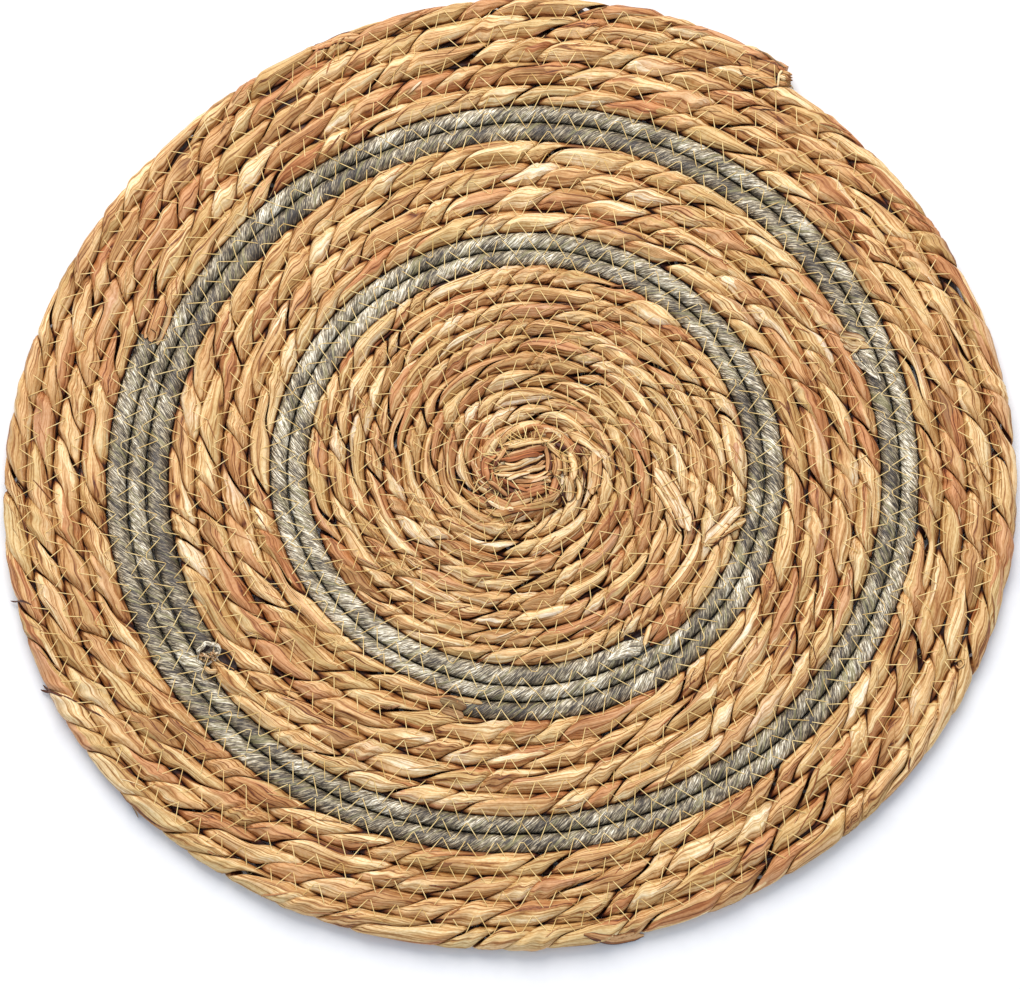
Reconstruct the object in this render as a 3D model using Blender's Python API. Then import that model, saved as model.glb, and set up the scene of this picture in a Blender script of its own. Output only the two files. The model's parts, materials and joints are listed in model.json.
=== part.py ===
"""Round seagrass placemat: one flat coil of rope and cord, sewn row to row.

The coil is five lengths laid end to end: rope, grey cord, rope, grey cord, rope. Each length is
one solid, a spiral strip whose turns are joined edge to edge, with a rounded ridge for every row.
Metres, +Z up, standing on z = 0, with the origin under the middle of the mat's box.
"""
import math

import bmesh
import bpy

MM = 0.001
FULL_TURN = 2.0 * math.pi

# A place along the coil is a turn number. Turns run clockwise seen from above, and every whole
# number lies on +X. Joints are the turns at which one length is cut and the next begins.
COIL_START = 0.144
JOINT_1 = 12.144
JOINT_2 = 14.289
JOINT_3 = 18.408
JOINT_4 = 20.561
COIL_END = 24.842

# Inner edge of the row at a turn: turn, radius in mm. The first turn grows from nothing.
ROW_EDGES = (
    (COIL_START + 1.0, 0.0),
    (JOINT_1, 77.3),
    (13.20, 85.8),
    (JOINT_2, 92.5),
    (15.29, 100.4),
    (16.80, 114.8),
    (JOINT_3, 130.2),
    (19.50, 139.3),
    (JOINT_4, 146.4),
    (21.56, 154.3),
    (23.20, 170.1),
    (COIL_END, 185.8),
    (COIL_END + 1.0, 193.2),
)

# A coil wound by hand isn't round. Waves in a turn, then how far the rows are pushed out, in mm,
# as cosine and sine parts at half the mat's radius and at its rim.
OUT_OF_ROUND = (
    (1, 0.0, 0.0, -2.2, -2.0),
    (2, 1.0, -0.1, 1.9, -2.1),
    (3, -0.3, 0.2, -0.4, 1.7),
)
HALF_RADIUS = 95.0

# The rope's first end is folded on itself, so the first rows are oval along this fold.
FOLD_TURN = -0.053
FOLD_HALF_LENGTH = 8.5
FOLD_GROWS_OVER = 3.0
FOLD_FADES_OVER = 15.0

# Heights of the rope and cord as they lie, in mm.
CENTRE_ROPE_HEIGHT = 7.8
ROPE_HEIGHT = 8.6
RIM_ROPE_HEIGHT = 8.8
CORD_HEIGHT = 6.8

# One row's section: part of the row's width, part of its height. Rows touch in the valleys.
ROW_TOP = ((0.0, 0.55), (0.18, 0.90), (0.50, 1.0), (0.82, 0.90), (1.0, 0.55))
ROW_UNDERSIDE = ((1.0, 0.30), (0.75, 0.0), (0.25, 0.0), (0.0, 0.30))

CLEARANCE = 0.3
STEPS_IN_A_TURN = 56
CENTRE_STEP_STRIDE = 2
WELD_DISTANCE = 1e-6
SAME_TURN = 1e-6
SHARP_ANGLE = math.radians(50.0)

LENGTHS = (
    ("rope_centre", COIL_START, JOINT_1, CENTRE_ROPE_HEIGHT, "seagrass"),
    ("cord_inner", JOINT_1, JOINT_2, CORD_HEIGHT, "grey_cord"),
    ("rope_middle", JOINT_2, JOINT_3, ROPE_HEIGHT, "seagrass"),
    ("cord_outer", JOINT_3, JOINT_4, CORD_HEIGHT, "grey_cord"),
    ("rope_rim", JOINT_4, COIL_END, RIM_ROPE_HEIGHT, "seagrass"),
)

FINISHES = {
    "seagrass": {"colour": (0.50, 0.30, 0.13), "roughness": 0.62},
    "grey_cord": {"colour": (0.21, 0.21, 0.19), "roughness": 0.55},
}


def row_edge(turn):
    """Radius in mm of the inner edge of the row at a turn."""
    if turn <= ROW_EDGES[0][0]:
        return 0.0
    for (turn_a, radius_a), (turn_b, radius_b) in zip(ROW_EDGES, ROW_EDGES[1:]):
        if turn <= turn_b:
            part = (turn - turn_a) / (turn_b - turn_a)
            return radius_a + part * (radius_b - radius_a)
    return ROW_EDGES[-1][1]


def pushed_out(radius, angle):
    """How far, in mm, a hand-wound row at this radius stands out from a true circle."""
    inner_part = min(radius / HALF_RADIUS, 1.0)
    outer_part = max(radius / HALF_RADIUS - 1.0, 0.0)
    push = 0.0
    for waves, half_cos, half_sin, rim_cos, rim_sin in OUT_OF_ROUND:
        cos_part = inner_part * half_cos + outer_part * (rim_cos - half_cos)
        sin_part = inner_part * half_sin + outer_part * (rim_sin - half_sin)
        push += cos_part * math.cos(waves * angle) + sin_part * math.sin(waves * angle)
    return push


def place(turn, radius):
    """Plan position in mm of a point of the coil, from the middle of its first turn."""
    angle = turn * FULL_TURN
    reach = radius + pushed_out(radius, angle)
    fold = FOLD_TURN * FULL_TURN
    grown = 1.0 - math.exp(-radius / FOLD_GROWS_OVER)
    stretch = FOLD_HALF_LENGTH * grown * math.exp(-radius / FOLD_FADES_OVER) * math.cos(angle - fold)
    x = reach * math.cos(angle) + stretch * math.cos(fold)
    y = -reach * math.sin(angle) - stretch * math.sin(fold)
    return x, y


def grid_fractions():
    """Parts of a turn at which every length has a section, with one on each joint."""
    fractions = [(JOINT_1 + step / STEPS_IN_A_TURN) % 1.0 for step in range(STEPS_IN_A_TURN)]
    for joint in (JOINT_2, JOINT_3, JOINT_4, COIL_END):
        nearest = min(range(STEPS_IN_A_TURN), key=lambda step: abs(fractions[step] - joint % 1.0))
        fractions[nearest] = joint % 1.0
    return fractions


def section_turns(first, last, fractions):
    """Turn numbers of a length's sections, in order, its first one set back by the clearance."""
    turns = sorted(
        whole + part
        for whole in range(math.floor(first), math.floor(last) + 1)
        for part in fractions
        if first - SAME_TURN <= whole + part <= last + SAME_TURN
    )
    start_radius = row_edge(first)
    slip = CLEARANCE / (FULL_TURN * start_radius) if start_radius else 0.0
    return [turn + slip if is_whole(turn - first) else turn for turn in turns]


def is_whole(turns):
    """Whether this is a whole number of turns."""
    return abs(turns - round(turns)) < SAME_TURN


def mat_middle(fractions):
    """Middle of the mat's outline in mm, which becomes the origin."""
    outline = [place(turn, row_edge(turn))
               for turn in (math.floor(COIL_END) + part for part in fractions)
               if turn >= COIL_END]
    outline += [place(turn, row_edge(turn))
                for turn in (math.floor(COIL_END) + 1.0 + part for part in fractions)
                if turn <= COIL_END + 1.0]
    xs = [x for x, _ in outline]
    ys = [y for _, y in outline]
    return (min(xs) + max(xs)) / 2.0, (min(ys) + max(ys)) / 2.0


def length_mesh(name, first, last, height, fractions, middle):
    """One length as a closed spiral strip, its neighbouring turns welded together."""
    turns = section_turns(first, last, fractions)
    starts_at_pole = row_edge(turns[0]) == 0.0
    first_turn_ends = turns[0] + 1.0 + SAME_TURN
    last_turn_begins = turns[-1] - 1.0 - SAME_TURN
    full_width = row_edge(ROW_EDGES[0][0] + 1.0)

    def edge(turn):
        """The row's edge, held clear of the length inside it for the first turn."""
        clear = CLEARANCE if turn <= first_turn_ends and not starts_at_pole else 0.0
        return row_edge(turn) + clear

    mesh = bmesh.new()
    sections = []
    for turn in turns:
        inner, outer = edge(turn), edge(turn + 1.0)
        fill = min(1.0, (outer - inner) / full_width)
        section = []
        for outline in (ROW_TOP, ROW_UNDERSIDE):
            valley = outline[0][1]
            for across, up in outline:
                x, y = place(turn, inner + across * (outer - inner))
                z = (valley + fill * (up - valley)) * height
                spot = ((x - middle[0]) * MM, (y - middle[1]) * MM, z * MM)
                section.append(mesh.verts.new(spot))
        sections.append(section)

    top_end = len(ROW_TOP) - 1
    underside_start = len(ROW_TOP)
    last_point = len(sections[0]) - 1
    for turn, following_turn, this, following in zip(turns, turns[1:], sections, sections[1:]):
        faces = [(k, k + 1) for k in range(last_point) if k != top_end]
        if turn > last_turn_begins:
            faces.append((top_end, underside_start))
        if following_turn <= first_turn_ends and not starts_at_pole:
            faces.append((last_point, 0))
        for a, b in faces:
            mesh.faces.new((this[a], this[b], following[b], following[a]))
    if not starts_at_pole:
        mesh.faces.new(sections[0])
    mesh.faces.new(sections[-1])

    bmesh.ops.remove_doubles(mesh, verts=mesh.verts, dist=WELD_DISTANCE)
    bmesh.ops.recalc_face_normals(mesh, faces=mesh.faces)
    data = bpy.data.meshes.new(name)
    mesh.to_mesh(data)
    mesh.free()
    data.shade_smooth()
    data.set_sharp_from_angle(angle=SHARP_ANGLE)
    return data


def finish(name):
    """The plain finish of a rope or a cord."""
    material = bpy.data.materials.new(name)
    material.use_nodes = True
    shader = material.node_tree.nodes["Principled BSDF"]
    shader.inputs["Base Color"].default_value = (*FINISHES[name]["colour"], 1.0)
    shader.inputs["Roughness"].default_value = FINISHES[name]["roughness"]
    shader.inputs["Metallic"].default_value = 0.0
    return material


def build_placemat():
    """Five lengths in one collection, each with its own material."""
    for old in list(bpy.data.objects):
        bpy.data.objects.remove(old, do_unlink=True)
    collection = bpy.data.collections.new("seagrass_placemat")
    bpy.context.scene.collection.children.link(collection)
    fractions = grid_fractions()
    middle = mat_middle(fractions)
    for name, first, last, height, finish_name in LENGTHS:
        stride = CENTRE_STEP_STRIDE if first == COIL_START else 1
        data = length_mesh(name, first, last, height, fractions[::stride], middle)
        data.materials.append(finish(finish_name))
        collection.objects.link(bpy.data.objects.new(name, data))


build_placemat()
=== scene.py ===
"""Round seagrass placemat: the looks of its coiled rope, grey cord and golden sewing thread."""
import collections
import functools
import json
import math
import random

import bpy
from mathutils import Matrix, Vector

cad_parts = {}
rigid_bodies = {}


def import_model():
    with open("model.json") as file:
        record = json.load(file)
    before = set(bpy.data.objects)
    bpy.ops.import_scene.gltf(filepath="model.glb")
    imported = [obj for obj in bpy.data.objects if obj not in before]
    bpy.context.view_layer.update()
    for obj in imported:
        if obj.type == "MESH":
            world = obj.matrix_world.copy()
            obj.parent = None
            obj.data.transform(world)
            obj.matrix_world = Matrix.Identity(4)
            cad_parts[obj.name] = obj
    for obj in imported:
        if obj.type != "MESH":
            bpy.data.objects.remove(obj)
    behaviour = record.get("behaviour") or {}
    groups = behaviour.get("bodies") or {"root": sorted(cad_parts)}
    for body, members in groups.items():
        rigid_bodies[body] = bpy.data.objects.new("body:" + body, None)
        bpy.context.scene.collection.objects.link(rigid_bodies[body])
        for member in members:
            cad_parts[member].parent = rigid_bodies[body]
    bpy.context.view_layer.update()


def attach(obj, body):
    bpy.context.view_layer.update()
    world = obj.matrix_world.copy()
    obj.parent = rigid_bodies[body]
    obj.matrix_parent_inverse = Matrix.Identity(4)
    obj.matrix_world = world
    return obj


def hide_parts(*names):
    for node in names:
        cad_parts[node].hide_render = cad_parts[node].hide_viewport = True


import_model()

MM = 0.001
FULL_TURN = 2.0 * math.pi


# The view: the mat lies flat and is seen from high in front, through a long lens.
# Soft daylight comes from the far side, and a white sheet under the mat takes its faint shadow.
CAMERA_ELEVATION = math.radians(72.0)
CAMERA_DISTANCE = 1.3185
CAMERA_STANDS_OVER = Vector((0.0035, -0.0030, 0.0))
CAMERA_AIM = Vector((-0.0002, -0.0149, 0.0))
CAMERA_LENS = 122.8

camera_data = bpy.data.cameras.new("camera")
camera_data.lens = CAMERA_LENS
camera = bpy.data.objects.new("camera", camera_data)
camera.location = CAMERA_STANDS_OVER + CAMERA_DISTANCE * Vector(
    (0.0, -math.cos(CAMERA_ELEVATION), math.sin(CAMERA_ELEVATION))
)
camera.rotation_euler = (CAMERA_AIM - camera.location).to_track_quat("-Z", "Y").to_euler()
bpy.context.scene.collection.objects.link(camera)
bpy.context.scene.camera = camera
bpy.context.scene.view_settings.view_transform = "Standard"

KEY_LIGHT_AT = Vector((-0.25, 1.15, 1.5))
KEY_LIGHT_SIZE = 1.7
KEY_LIGHT_WATTS = 41.0
SKY_STRENGTH = 1.02
SHEET_SIZE = 4.0
SHEET_DROP = 0.3 * MM


def linear(colour):
    """An sRGB colour such as #C99A5B as linear red, green, blue and alpha."""
    parts = [int(colour[k:k + 2], 16) / 255.0 for k in (1, 3, 5)]
    return tuple(p / 12.92 if p <= 0.04045 else ((p + 0.055) / 1.055) ** 2.4 for p in parts) + (1.0,)


def wire(node, inputs):
    """Gives a node's sockets, by name or number, their values or links."""
    for socket, value in inputs.items():
        if isinstance(value, bpy.types.Node):
            value = value.outputs[0]
        if isinstance(value, bpy.types.NodeSocket):
            node.id_data.links.new(value, node.inputs[socket])
        else:
            node.inputs[socket].default_value = value


def add_node(tree, kind, *inputs, stops=(), **options):
    """Adds a node with its options and colour stops, and gives its sockets their values or links.

    Kind is the node's type, and its operation where it has one. Inputs come in the order of the sockets,
    and a dictionary after them names the rest.
    """
    kind, _, operation = kind.partition(" ")
    families = ("ShaderNode", "GeometryNode", "FunctionNode")
    node = tree.nodes.new(next(family + kind for family in families if hasattr(bpy.types, family + kind)))
    if operation:
        node.operation = operation
    for option, value in options.items():
        setattr(node, option, value)
    for number, (position, colour) in enumerate(stops):
        elements = node.color_ramp.elements
        stop = elements[number] if number < 2 else elements.new(position)
        stop.position = position
        stop.color = linear(colour)
    for number, value in enumerate(inputs):
        wire(node, value if isinstance(value, dict) else {number: value})
    return node


def finish_of(name):
    """A new material, what adds a node to it, and its shader."""
    material = bpy.data.materials.new(name)
    material.use_nodes = True
    tree = material.node_tree
    return material, functools.partial(add_node, tree), tree.nodes["Principled BSDF"]


def white_sheet():
    """Matt white paper: a plain pale ground with no shine."""
    material, add, shader = finish_of("matt_white_paper")
    grain = add("TexNoise", {"Scale": 900.0, "Detail": 2.0})
    colour = add("ValToRGB", grain, stops=((0.0, "#DCDCDC"), (1.0, "#E2E2E2")))
    wire(shader, {"Base Color": colour, "Roughness": 0.9, "Specular IOR Level": 0.1})
    return material


side = SHEET_SIZE / 2.0
ground_mesh = bpy.data.meshes.new("ground")
ground_mesh.from_pydata(
    [(x, y, -SHEET_DROP) for x, y in ((-side, -side), (side, -side), (side, side), (-side, side))],
    [],
    [(0, 1, 2, 3)],
)
ground_mesh.materials.append(white_sheet())
ground = bpy.data.objects.new("ground", ground_mesh)
bpy.context.scene.collection.objects.link(ground)

light_data = bpy.data.lights.new("window", "AREA")
light_data.shape = "DISK"
light_data.size = KEY_LIGHT_SIZE
light_data.energy = KEY_LIGHT_WATTS
light_data.color = linear("#FFF8F1")[:3]
light = bpy.data.objects.new("window", light_data)
light.location = KEY_LIGHT_AT
light.rotation_euler = (-KEY_LIGHT_AT).to_track_quat("-Z", "Y").to_euler()
bpy.context.scene.collection.objects.link(light)

world = bpy.data.worlds.new("sky")
world.use_nodes = True
sky = world.node_tree.nodes["Background"]
wire(sky, {"Color": linear("#E4EDFB"), "Strength": SKY_STRENGTH})
bpy.context.scene.world = world


# rope_centre: the first length of the coil, wound clockwise by hand around its own folded end.
# It is rope of two strands, each of a few long dried seagrass leaves, twisted hard and left natural.
# Places along the coil are turn numbers, counted clockwise from +X. Sizes are in mm.
COIL_MIDDLE = (4.416, -5.550)
COIL_START = 0.144
JOINT_1 = 12.144
JOINT_2 = 14.289
JOINT_3 = 18.408
JOINT_4 = 20.561
COIL_END = 24.842
# The inner edge of the row at a turn: turn, radius.
ROW_EDGES = (
    (COIL_START + 1.0, 0.0),
    (JOINT_1, 77.3),
    (13.20, 85.8),
    (JOINT_2, 92.5),
    (15.29, 100.4),
    (16.80, 114.8),
    (JOINT_3, 130.2),
    (19.50, 139.3),
    (JOINT_4, 146.4),
    (21.56, 154.3),
    (23.20, 170.1),
    (COIL_END, 185.8),
    (COIL_END + 1.0, 193.2),
)
# Waves in a turn, then how far the rows are pushed out by them, at half the radius and at the rim.
OUT_OF_ROUND = (
    (1, 0.0, 0.0, -2.2, -2.0),
    (2, 1.0, -0.1, 1.9, -2.1),
    (3, -0.3, 0.2, -0.4, 1.7),
)
HALF_RADIUS = 95.0
FOLD_TURN = -0.053
FOLD_HALF_LENGTH = 8.5
FOLD_GROWS_OVER = 3.0
FOLD_FADES_OVER = 15.0
STEP = 1.6
LEAST_RADIUS = 4.0
STRAND_RADIUS = 3.5
LEAST_HALF_WIDTH = 2.6
CENTRE_ROPE_HEIGHT = 7.8
ROPE_FULLNESS = 1.04
FOLD_SHOWS_FROM = 0.42


def row_edge(turn):
    """Radius in mm of the inner edge of the row at a turn, turns being counted clockwise from +X."""
    if turn <= ROW_EDGES[0][0]:
        return 0.0
    for (turn_a, radius_a), (turn_b, radius_b) in zip(ROW_EDGES, ROW_EDGES[1:]):
        if turn <= turn_b:
            part = (turn - turn_a) / (turn_b - turn_a)
            return radius_a + part * (radius_b - radius_a)
    return ROW_EDGES[-1][1]


def pushed_out(radius, angle):
    """How far, in mm, a hand-wound row at this radius stands out from a true circle."""
    inner_part = min(radius / HALF_RADIUS, 1.0)
    outer_part = max(radius / HALF_RADIUS - 1.0, 0.0)
    push = 0.0
    for waves, half_cos, half_sin, rim_cos, rim_sin in OUT_OF_ROUND:
        cos_part = inner_part * half_cos + outer_part * (rim_cos - half_cos)
        sin_part = inner_part * half_sin + outer_part * (rim_sin - half_sin)
        push += cos_part * math.cos(waves * angle) + sin_part * math.sin(waves * angle)
    return push


def place(turn, radius):
    """Plan position in metres of a point of the coil."""
    angle = turn * FULL_TURN
    reach = radius + pushed_out(radius, angle)
    fold = FOLD_TURN * FULL_TURN
    grown = 1.0 - math.exp(-radius / FOLD_GROWS_OVER)
    stretch = FOLD_HALF_LENGTH * grown * math.exp(-radius / FOLD_FADES_OVER) * math.cos(angle - fold)
    x = COIL_MIDDLE[0] + reach * math.cos(angle) + stretch * math.cos(fold)
    y = COIL_MIDDLE[1] - reach * math.sin(angle) - stretch * math.sin(fold)
    return Vector((x, y, 0.0)) * MM


def path_object(name, chains, attributes):
    """Chains of edges through their spots, each attribute holding one number or vector a spot."""
    spots = []
    edges = []
    for chain in chains:
        edges += [(k, k + 1) for k in range(len(spots), len(spots) + len(chain) - 1)]
        spots += chain
    mesh = bpy.data.meshes.new(name)
    mesh.from_pydata(spots, edges, [])
    for key, values in attributes.items():
        is_vector = isinstance(values[0], Vector)
        layer = mesh.attributes.new(key, "FLOAT_VECTOR" if is_vector else "FLOAT", "POINT")
        flat = [part for value in values for part in value] if is_vector else values
        layer.data.foreach_set("vector" if is_vector else "value", flat)
    path = bpy.data.objects.new(name, mesh)
    bpy.context.scene.collection.objects.link(path)
    return path


def smooth(part):
    """Eases a part from 0 to 1, holding it to that range."""
    part = min(max(part, 0.0), 1.0)
    return part * part * (3.0 - 2.0 * part)


def read_off(table, place_along):
    """The value at a place along, from rows of places and values, straight between them."""
    for (place_a, value_a), (place_b, value_b) in zip(table, table[1:]):
        if place_along <= place_b:
            part = max(place_along - place_a, 0.0) / (place_b - place_a)
            return value_a + part * (value_b - value_a)
    return table[-1][1]


def ways_out(spots):
    """The level way outwards from a path at each of its spots."""
    ways = []
    for before, after in zip([spots[0], *spots], [*spots[1:], spots[-1]]):
        ahead = after - before
        ways.append(Vector((-ahead.y, ahead.x, 0.0)).normalized())
    return ways


def lying_path(name, first, last, height, fullness, start_taper=(1.0, 1.0), end_taper=(1.0, 1.0),
               paler=((0.0, 0.0), (1.0, 0.0)), russet=((0.0, 0.0), (1.0, 0.0))):
    """The middle of a length's rows, with its distance along, way outwards, and half width and height.

    Fullness is the rope's width over its row's. A taper is the share of the full thickness left at
    that end, and the mm over which it grows back. The mat's last turn has no row against its outer side.
    Paler and russet say how much so the length is from place to place, in turns after the first.
    """
    turns = [first]
    while turns[-1] < last:
        middle_radius = (row_edge(turns[-1]) + row_edge(turns[-1] + 1.0)) / 2.0
        turns.append(turns[-1] + STEP / (FULL_TURN * max(middle_radius, LEAST_RADIUS)))
    turns[-1] = last
    edges = [(place(turn, row_edge(turn)), place(turn, row_edge(turn + 1.0))) for turn in turns]
    spots = [(inner + outer) / 2.0 for inner, outer in edges]
    along = [0.0]
    for this, following in zip(spots, spots[1:]):
        along.append(along[-1] + (following - this).length)
    outwards = ways_out(spots)
    half_widths = []
    half_heights = []
    for (inner, outer), distance in zip(edges, along):
        full = 1.0
        for (share, over), to_end in ((start_taper, distance), (end_taper, along[-1] - distance)):
            full *= share + (1.0 - share) * smooth(to_end / (over * MM))
        half_widths.append(max((outer - inner).length / 2.0, LEAST_HALF_WIDTH * MM) * fullness * full)
        half_heights.append(height / 2.0 * MM * full)
    for spot, half_height in zip(spots, half_heights):
        spot.z = half_height
    return path_object(name, [spots], {
        "along": along,
        "outwards": outwards,
        "half_width": half_widths,
        "half_height": half_heights,
        "open_side": [1.0 if turn > COIL_END - 1.0 else 0.0 for turn in turns],
        "paler": [read_off(paler, turn - first) for turn in turns],
        "russet": [read_off(russet, turn - first) for turn in turns],
    })


def new_tree(name, **sockets):
    """A modifier's tree with inputs of each kind: what adds a node to it, its inputs and its result."""
    tree = bpy.data.node_groups.new(name, "GeometryNodeTree")
    for kind, labels in {"Geometry": ("Geometry",), **sockets}.items():
        for label in labels:
            tree.interface.new_socket(label, in_out="INPUT", socket_type="NodeSocket" + kind)
    tree.interface.new_socket("Geometry", in_out="OUTPUT", socket_type="NodeSocketGeometry")
    given = tree.nodes.new("NodeGroupInput").outputs
    return functools.partial(add_node, tree), given, tree.nodes.new("NodeGroupOutput")


def grown(path, tree, name, sizes):
    """The plain mesh that a tree grows on a path, which is used up; sizes go to the inputs by name."""
    modifier = path.modifiers.new("grow", "NODES")
    modifier.node_group = tree
    for item in tree.interface.items_tree:
        if item.in_out == "INPUT" and item.name in sizes:
            modifier[item.identifier] = sizes[item.name]
    depsgraph = bpy.context.evaluated_depsgraph_get()
    mesh = bpy.data.meshes.new_from_object(
        path.evaluated_get(depsgraph), preserve_all_data_layers=True, depsgraph=depsgraph
    )
    mesh.name = name
    bpy.data.objects.remove(path)
    piece = bpy.data.objects.new(name, mesh)
    bpy.context.scene.collection.objects.link(piece)
    return piece


def sweep(add, curve, sides, **kept):
    """A unit ring swept along a curve: the mesh, the ring's own spots, and what each path spot kept."""
    held = add("CaptureAttribute", curve)
    here = add("InputPosition")
    held.capture_items.new("VECTOR", "axis")
    for key in kept:
        held.capture_items.new("FLOAT", key)
    wire(held, {"axis": here, **kept})
    circle = add("CurvePrimitiveCircle", {"Resolution": sides, "Radius": 1.0})
    ring = add("CaptureAttribute", circle)
    ring.capture_items.new("VECTOR", "ring")
    wire(ring, {"ring": here})
    swept = add("CurveToMesh", held, {"Profile Curve": ring, "Fill Caps": True})
    return swept, ring.outputs["ring"], held.outputs


NO_LOWER_THAN_THE_TABLE = (-9.0, -9.0, 0.0)


def lie_beside(add, section, axis, given):
    """Where a spot of a rope's unit section lies, and how near the valley between rows it is, 0 to 1.

    Low on its flanks the rope is pressed wide against its neighbours, and below it rests on the table.
    """
    outwards = add("InputNamedAttribute", "outwards", data_type="FLOAT_VECTOR")
    half_width, half_height, open_side = (
        add("InputNamedAttribute", key) for key in ("half_width", "half_height", "open_side")
    )
    parts = add("SeparateXYZ", section)
    reach = add("VectorMath LENGTH", section)
    far_up = add("Math ABSOLUTE", parts.outputs["Y"])
    way_round = add("Math ARCTAN2", far_up, parts.outputs["X"])
    even_part = add("MapRange", way_round, 0.0, math.pi, 1.0, -1.0)
    even = add("Math MULTIPLY", even_part, reach.outputs["Value"])
    peaked = add("Mix", given["Row peak"], {2: parts.outputs["X"], 3: even})
    far_across = add("Math ABSOLUTE", peaked)
    press = add("MapRange", far_up, 0.1, 0.6, given["Pressed flank"], 1.0)
    widened = add("Math POWER", far_across, press)
    side = add("Math SIGN", parts.outputs["X"])
    across_part = add("Math MULTIPLY", widened, side)
    across = add("Math MULTIPLY", across_part, half_width)
    up = add("Math MULTIPLY", parts.outputs["Y"], half_height)
    outward_move = add("VectorMath SCALE", outwards, {"Scale": across})
    moved = add("VectorMath ADD", outward_move, add("CombineXYZ", {"Z": up}))
    spot = add("VectorMath ADD", axis, moved)
    rests = add("VectorMath MAXIMUM", spot, NO_LOWER_THAN_THE_TABLE)
    # The nearness to the valley between rows, 0 to 1, is used to paint shade there; the outer side of the
    # mat's last turn is left unshaded.
    is_outer = add("Math GREATER_THAN", parts.outputs["X"], 0.0)
    is_open = add("Math MULTIPLY", is_outer, open_side)
    raised = add("Math MAXIMUM", far_up, is_open)
    valley = add("Math SUBTRACT", 1.0, raised, use_clamp=True)
    return rests, valley


def finished(add, mesh, given, result, **stored):
    """Stores the named values on a mesh, shades it smooth, and ends the tree with its material."""
    for key, node in stored.items():
        is_vector = node.outputs[0].type == "VECTOR"
        mesh = add("StoreNamedAttribute", mesh, {"Name": key, "Value": node},
                   data_type="FLOAT_VECTOR" if is_vector else "FLOAT")
    softened = add("SetShadeSmooth", mesh)
    realized = add("RealizeInstances", softened)
    coated = add("SetMaterial", realized, {"Material": given["Material"]})
    wire(result, {"Geometry": coated})
    return result.id_data


# Patterns along the rope, in repeats a metre, and a shift that gives each strand its own.
DRIFT_REPEATS = 28.0
LUMP_REPEATS = 45.0
CREASE_REPEATS = (330.0, 330.0, 30.0)
STRAND_SHIFT = 7.0


def rope_tree():
    """Strands laid around a path and turned about it, each flattened where it meets the next."""
    add, given, result = new_tree("Laid rope", Int=("Strands", "Sides"), Float=(
        "Twist length", "Strand width", "Flat side", "Round side", "Crease depth", "Lump change",
        "Twist change", "Leaf turn back", "Pressed flank", "Row peak", "Seed",
    ), Material=("Material",))
    along, strand = (add("InputNamedAttribute", key) for key in ("along", "strand"))
    curve = add("MeshToCurve", given["Geometry"])
    strands = add("DuplicateElements", curve, {"Amount": given["Strands"]}, domain="SPLINE")
    numbered = add("StoreNamedAttribute", strands,
                   {"Name": "strand", "Value": strands.outputs["Duplicate Index"]}, domain="CURVE")

    lay = add("Math DIVIDE", along, given["Twist length"])
    share = add("Math DIVIDE", strand, given["Strands"])
    turns = add("Math SUBTRACT", share, lay)
    drift_at = add("Math MULTIPLY_ADD", along, DRIFT_REPEATS, given["Seed"])
    drift = add("TexNoise", {"W": drift_at, "Scale": 1.0, "Detail": 1.0}, noise_dimensions="1D")
    drifted = add("Math MULTIPLY_ADD", drift, given["Twist change"], turns)
    angle = add("Math MULTIPLY", drifted, FULL_TURN)
    swept, ring, held = sweep(add, numbered, given["Sides"], angle=angle)

    size = add("VectorMath ABSOLUTE", ring)
    side = add("VectorMath SIGN", ring)
    parts = add("SeparateXYZ", ring)
    is_outer = add("Math GREATER_THAN", parts, 0.0)
    power = add("Mix", is_outer, {2: given["Flat side"], 3: given["Round side"]})
    squared = add("VectorMath POWER", size, power)
    shape = add("VectorMath MULTIPLY", squared, side)
    sized = add("VectorMath MULTIPLY", shape, add("CombineXYZ", {"X": 0.5, "Y": given["Strand width"]}))

    turned_back = add("Math MULTIPLY", held["angle"], given["Leaf turn back"])
    leaf_turned = add("VectorRotate", ring, {"Angle": turned_back}, rotation_type="Z_AXIS")
    leaf_wide = add("VectorMath SCALE", leaf_turned, {"Scale": STRAND_RADIUS * MM})
    leaf_along = add("Math MULTIPLY_ADD", strand, STRAND_SHIFT, along)
    leaf = add("VectorMath ADD", leaf_wide, add("CombineXYZ", {"Z": leaf_along}))

    crease_at = add("VectorMath MULTIPLY", leaf, CREASE_REPEATS)
    crease = add("TexNoise", crease_at, {"Scale": 1.0, "Detail": 1.0})
    creased = add("Math SUBTRACT", crease, 0.5)
    lump_at = add("Math MULTIPLY_ADD", leaf_along, LUMP_REPEATS, given["Seed"])
    lump = add("TexNoise", {"W": lump_at, "Scale": 1.0, "Detail": 0.0}, noise_dimensions="1D")
    lumped = add("Math SUBTRACT", lump, 0.5)
    swell = add("Math MULTIPLY_ADD", creased, given["Crease depth"], 1.0)
    swelled = add("Math MULTIPLY_ADD", lumped, given["Lump change"], swell)
    puffed = add("VectorMath SCALE", sized, {"Scale": swelled})
    section = add("VectorMath ADD", puffed, (0.5, 0.0, 0.0))
    # How near the groove between the strands a spot lies, used to paint shade into that groove.
    from_axis = add("VectorMath LENGTH", section)
    seam = add("MapRange", from_axis.outputs["Value"], 0.4, 0.64, 0.97, 0.0)
    turned = add("VectorRotate", section, {"Angle": held["angle"]}, rotation_type="Z_AXIS")
    rests, valley = lie_beside(add, turned, held["axis"], given)
    placed = add("SetPosition", swept, {"Position": rests})
    return finished(add, placed, given, result, leaf=leaf, valley=valley, seam=seam)


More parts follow.
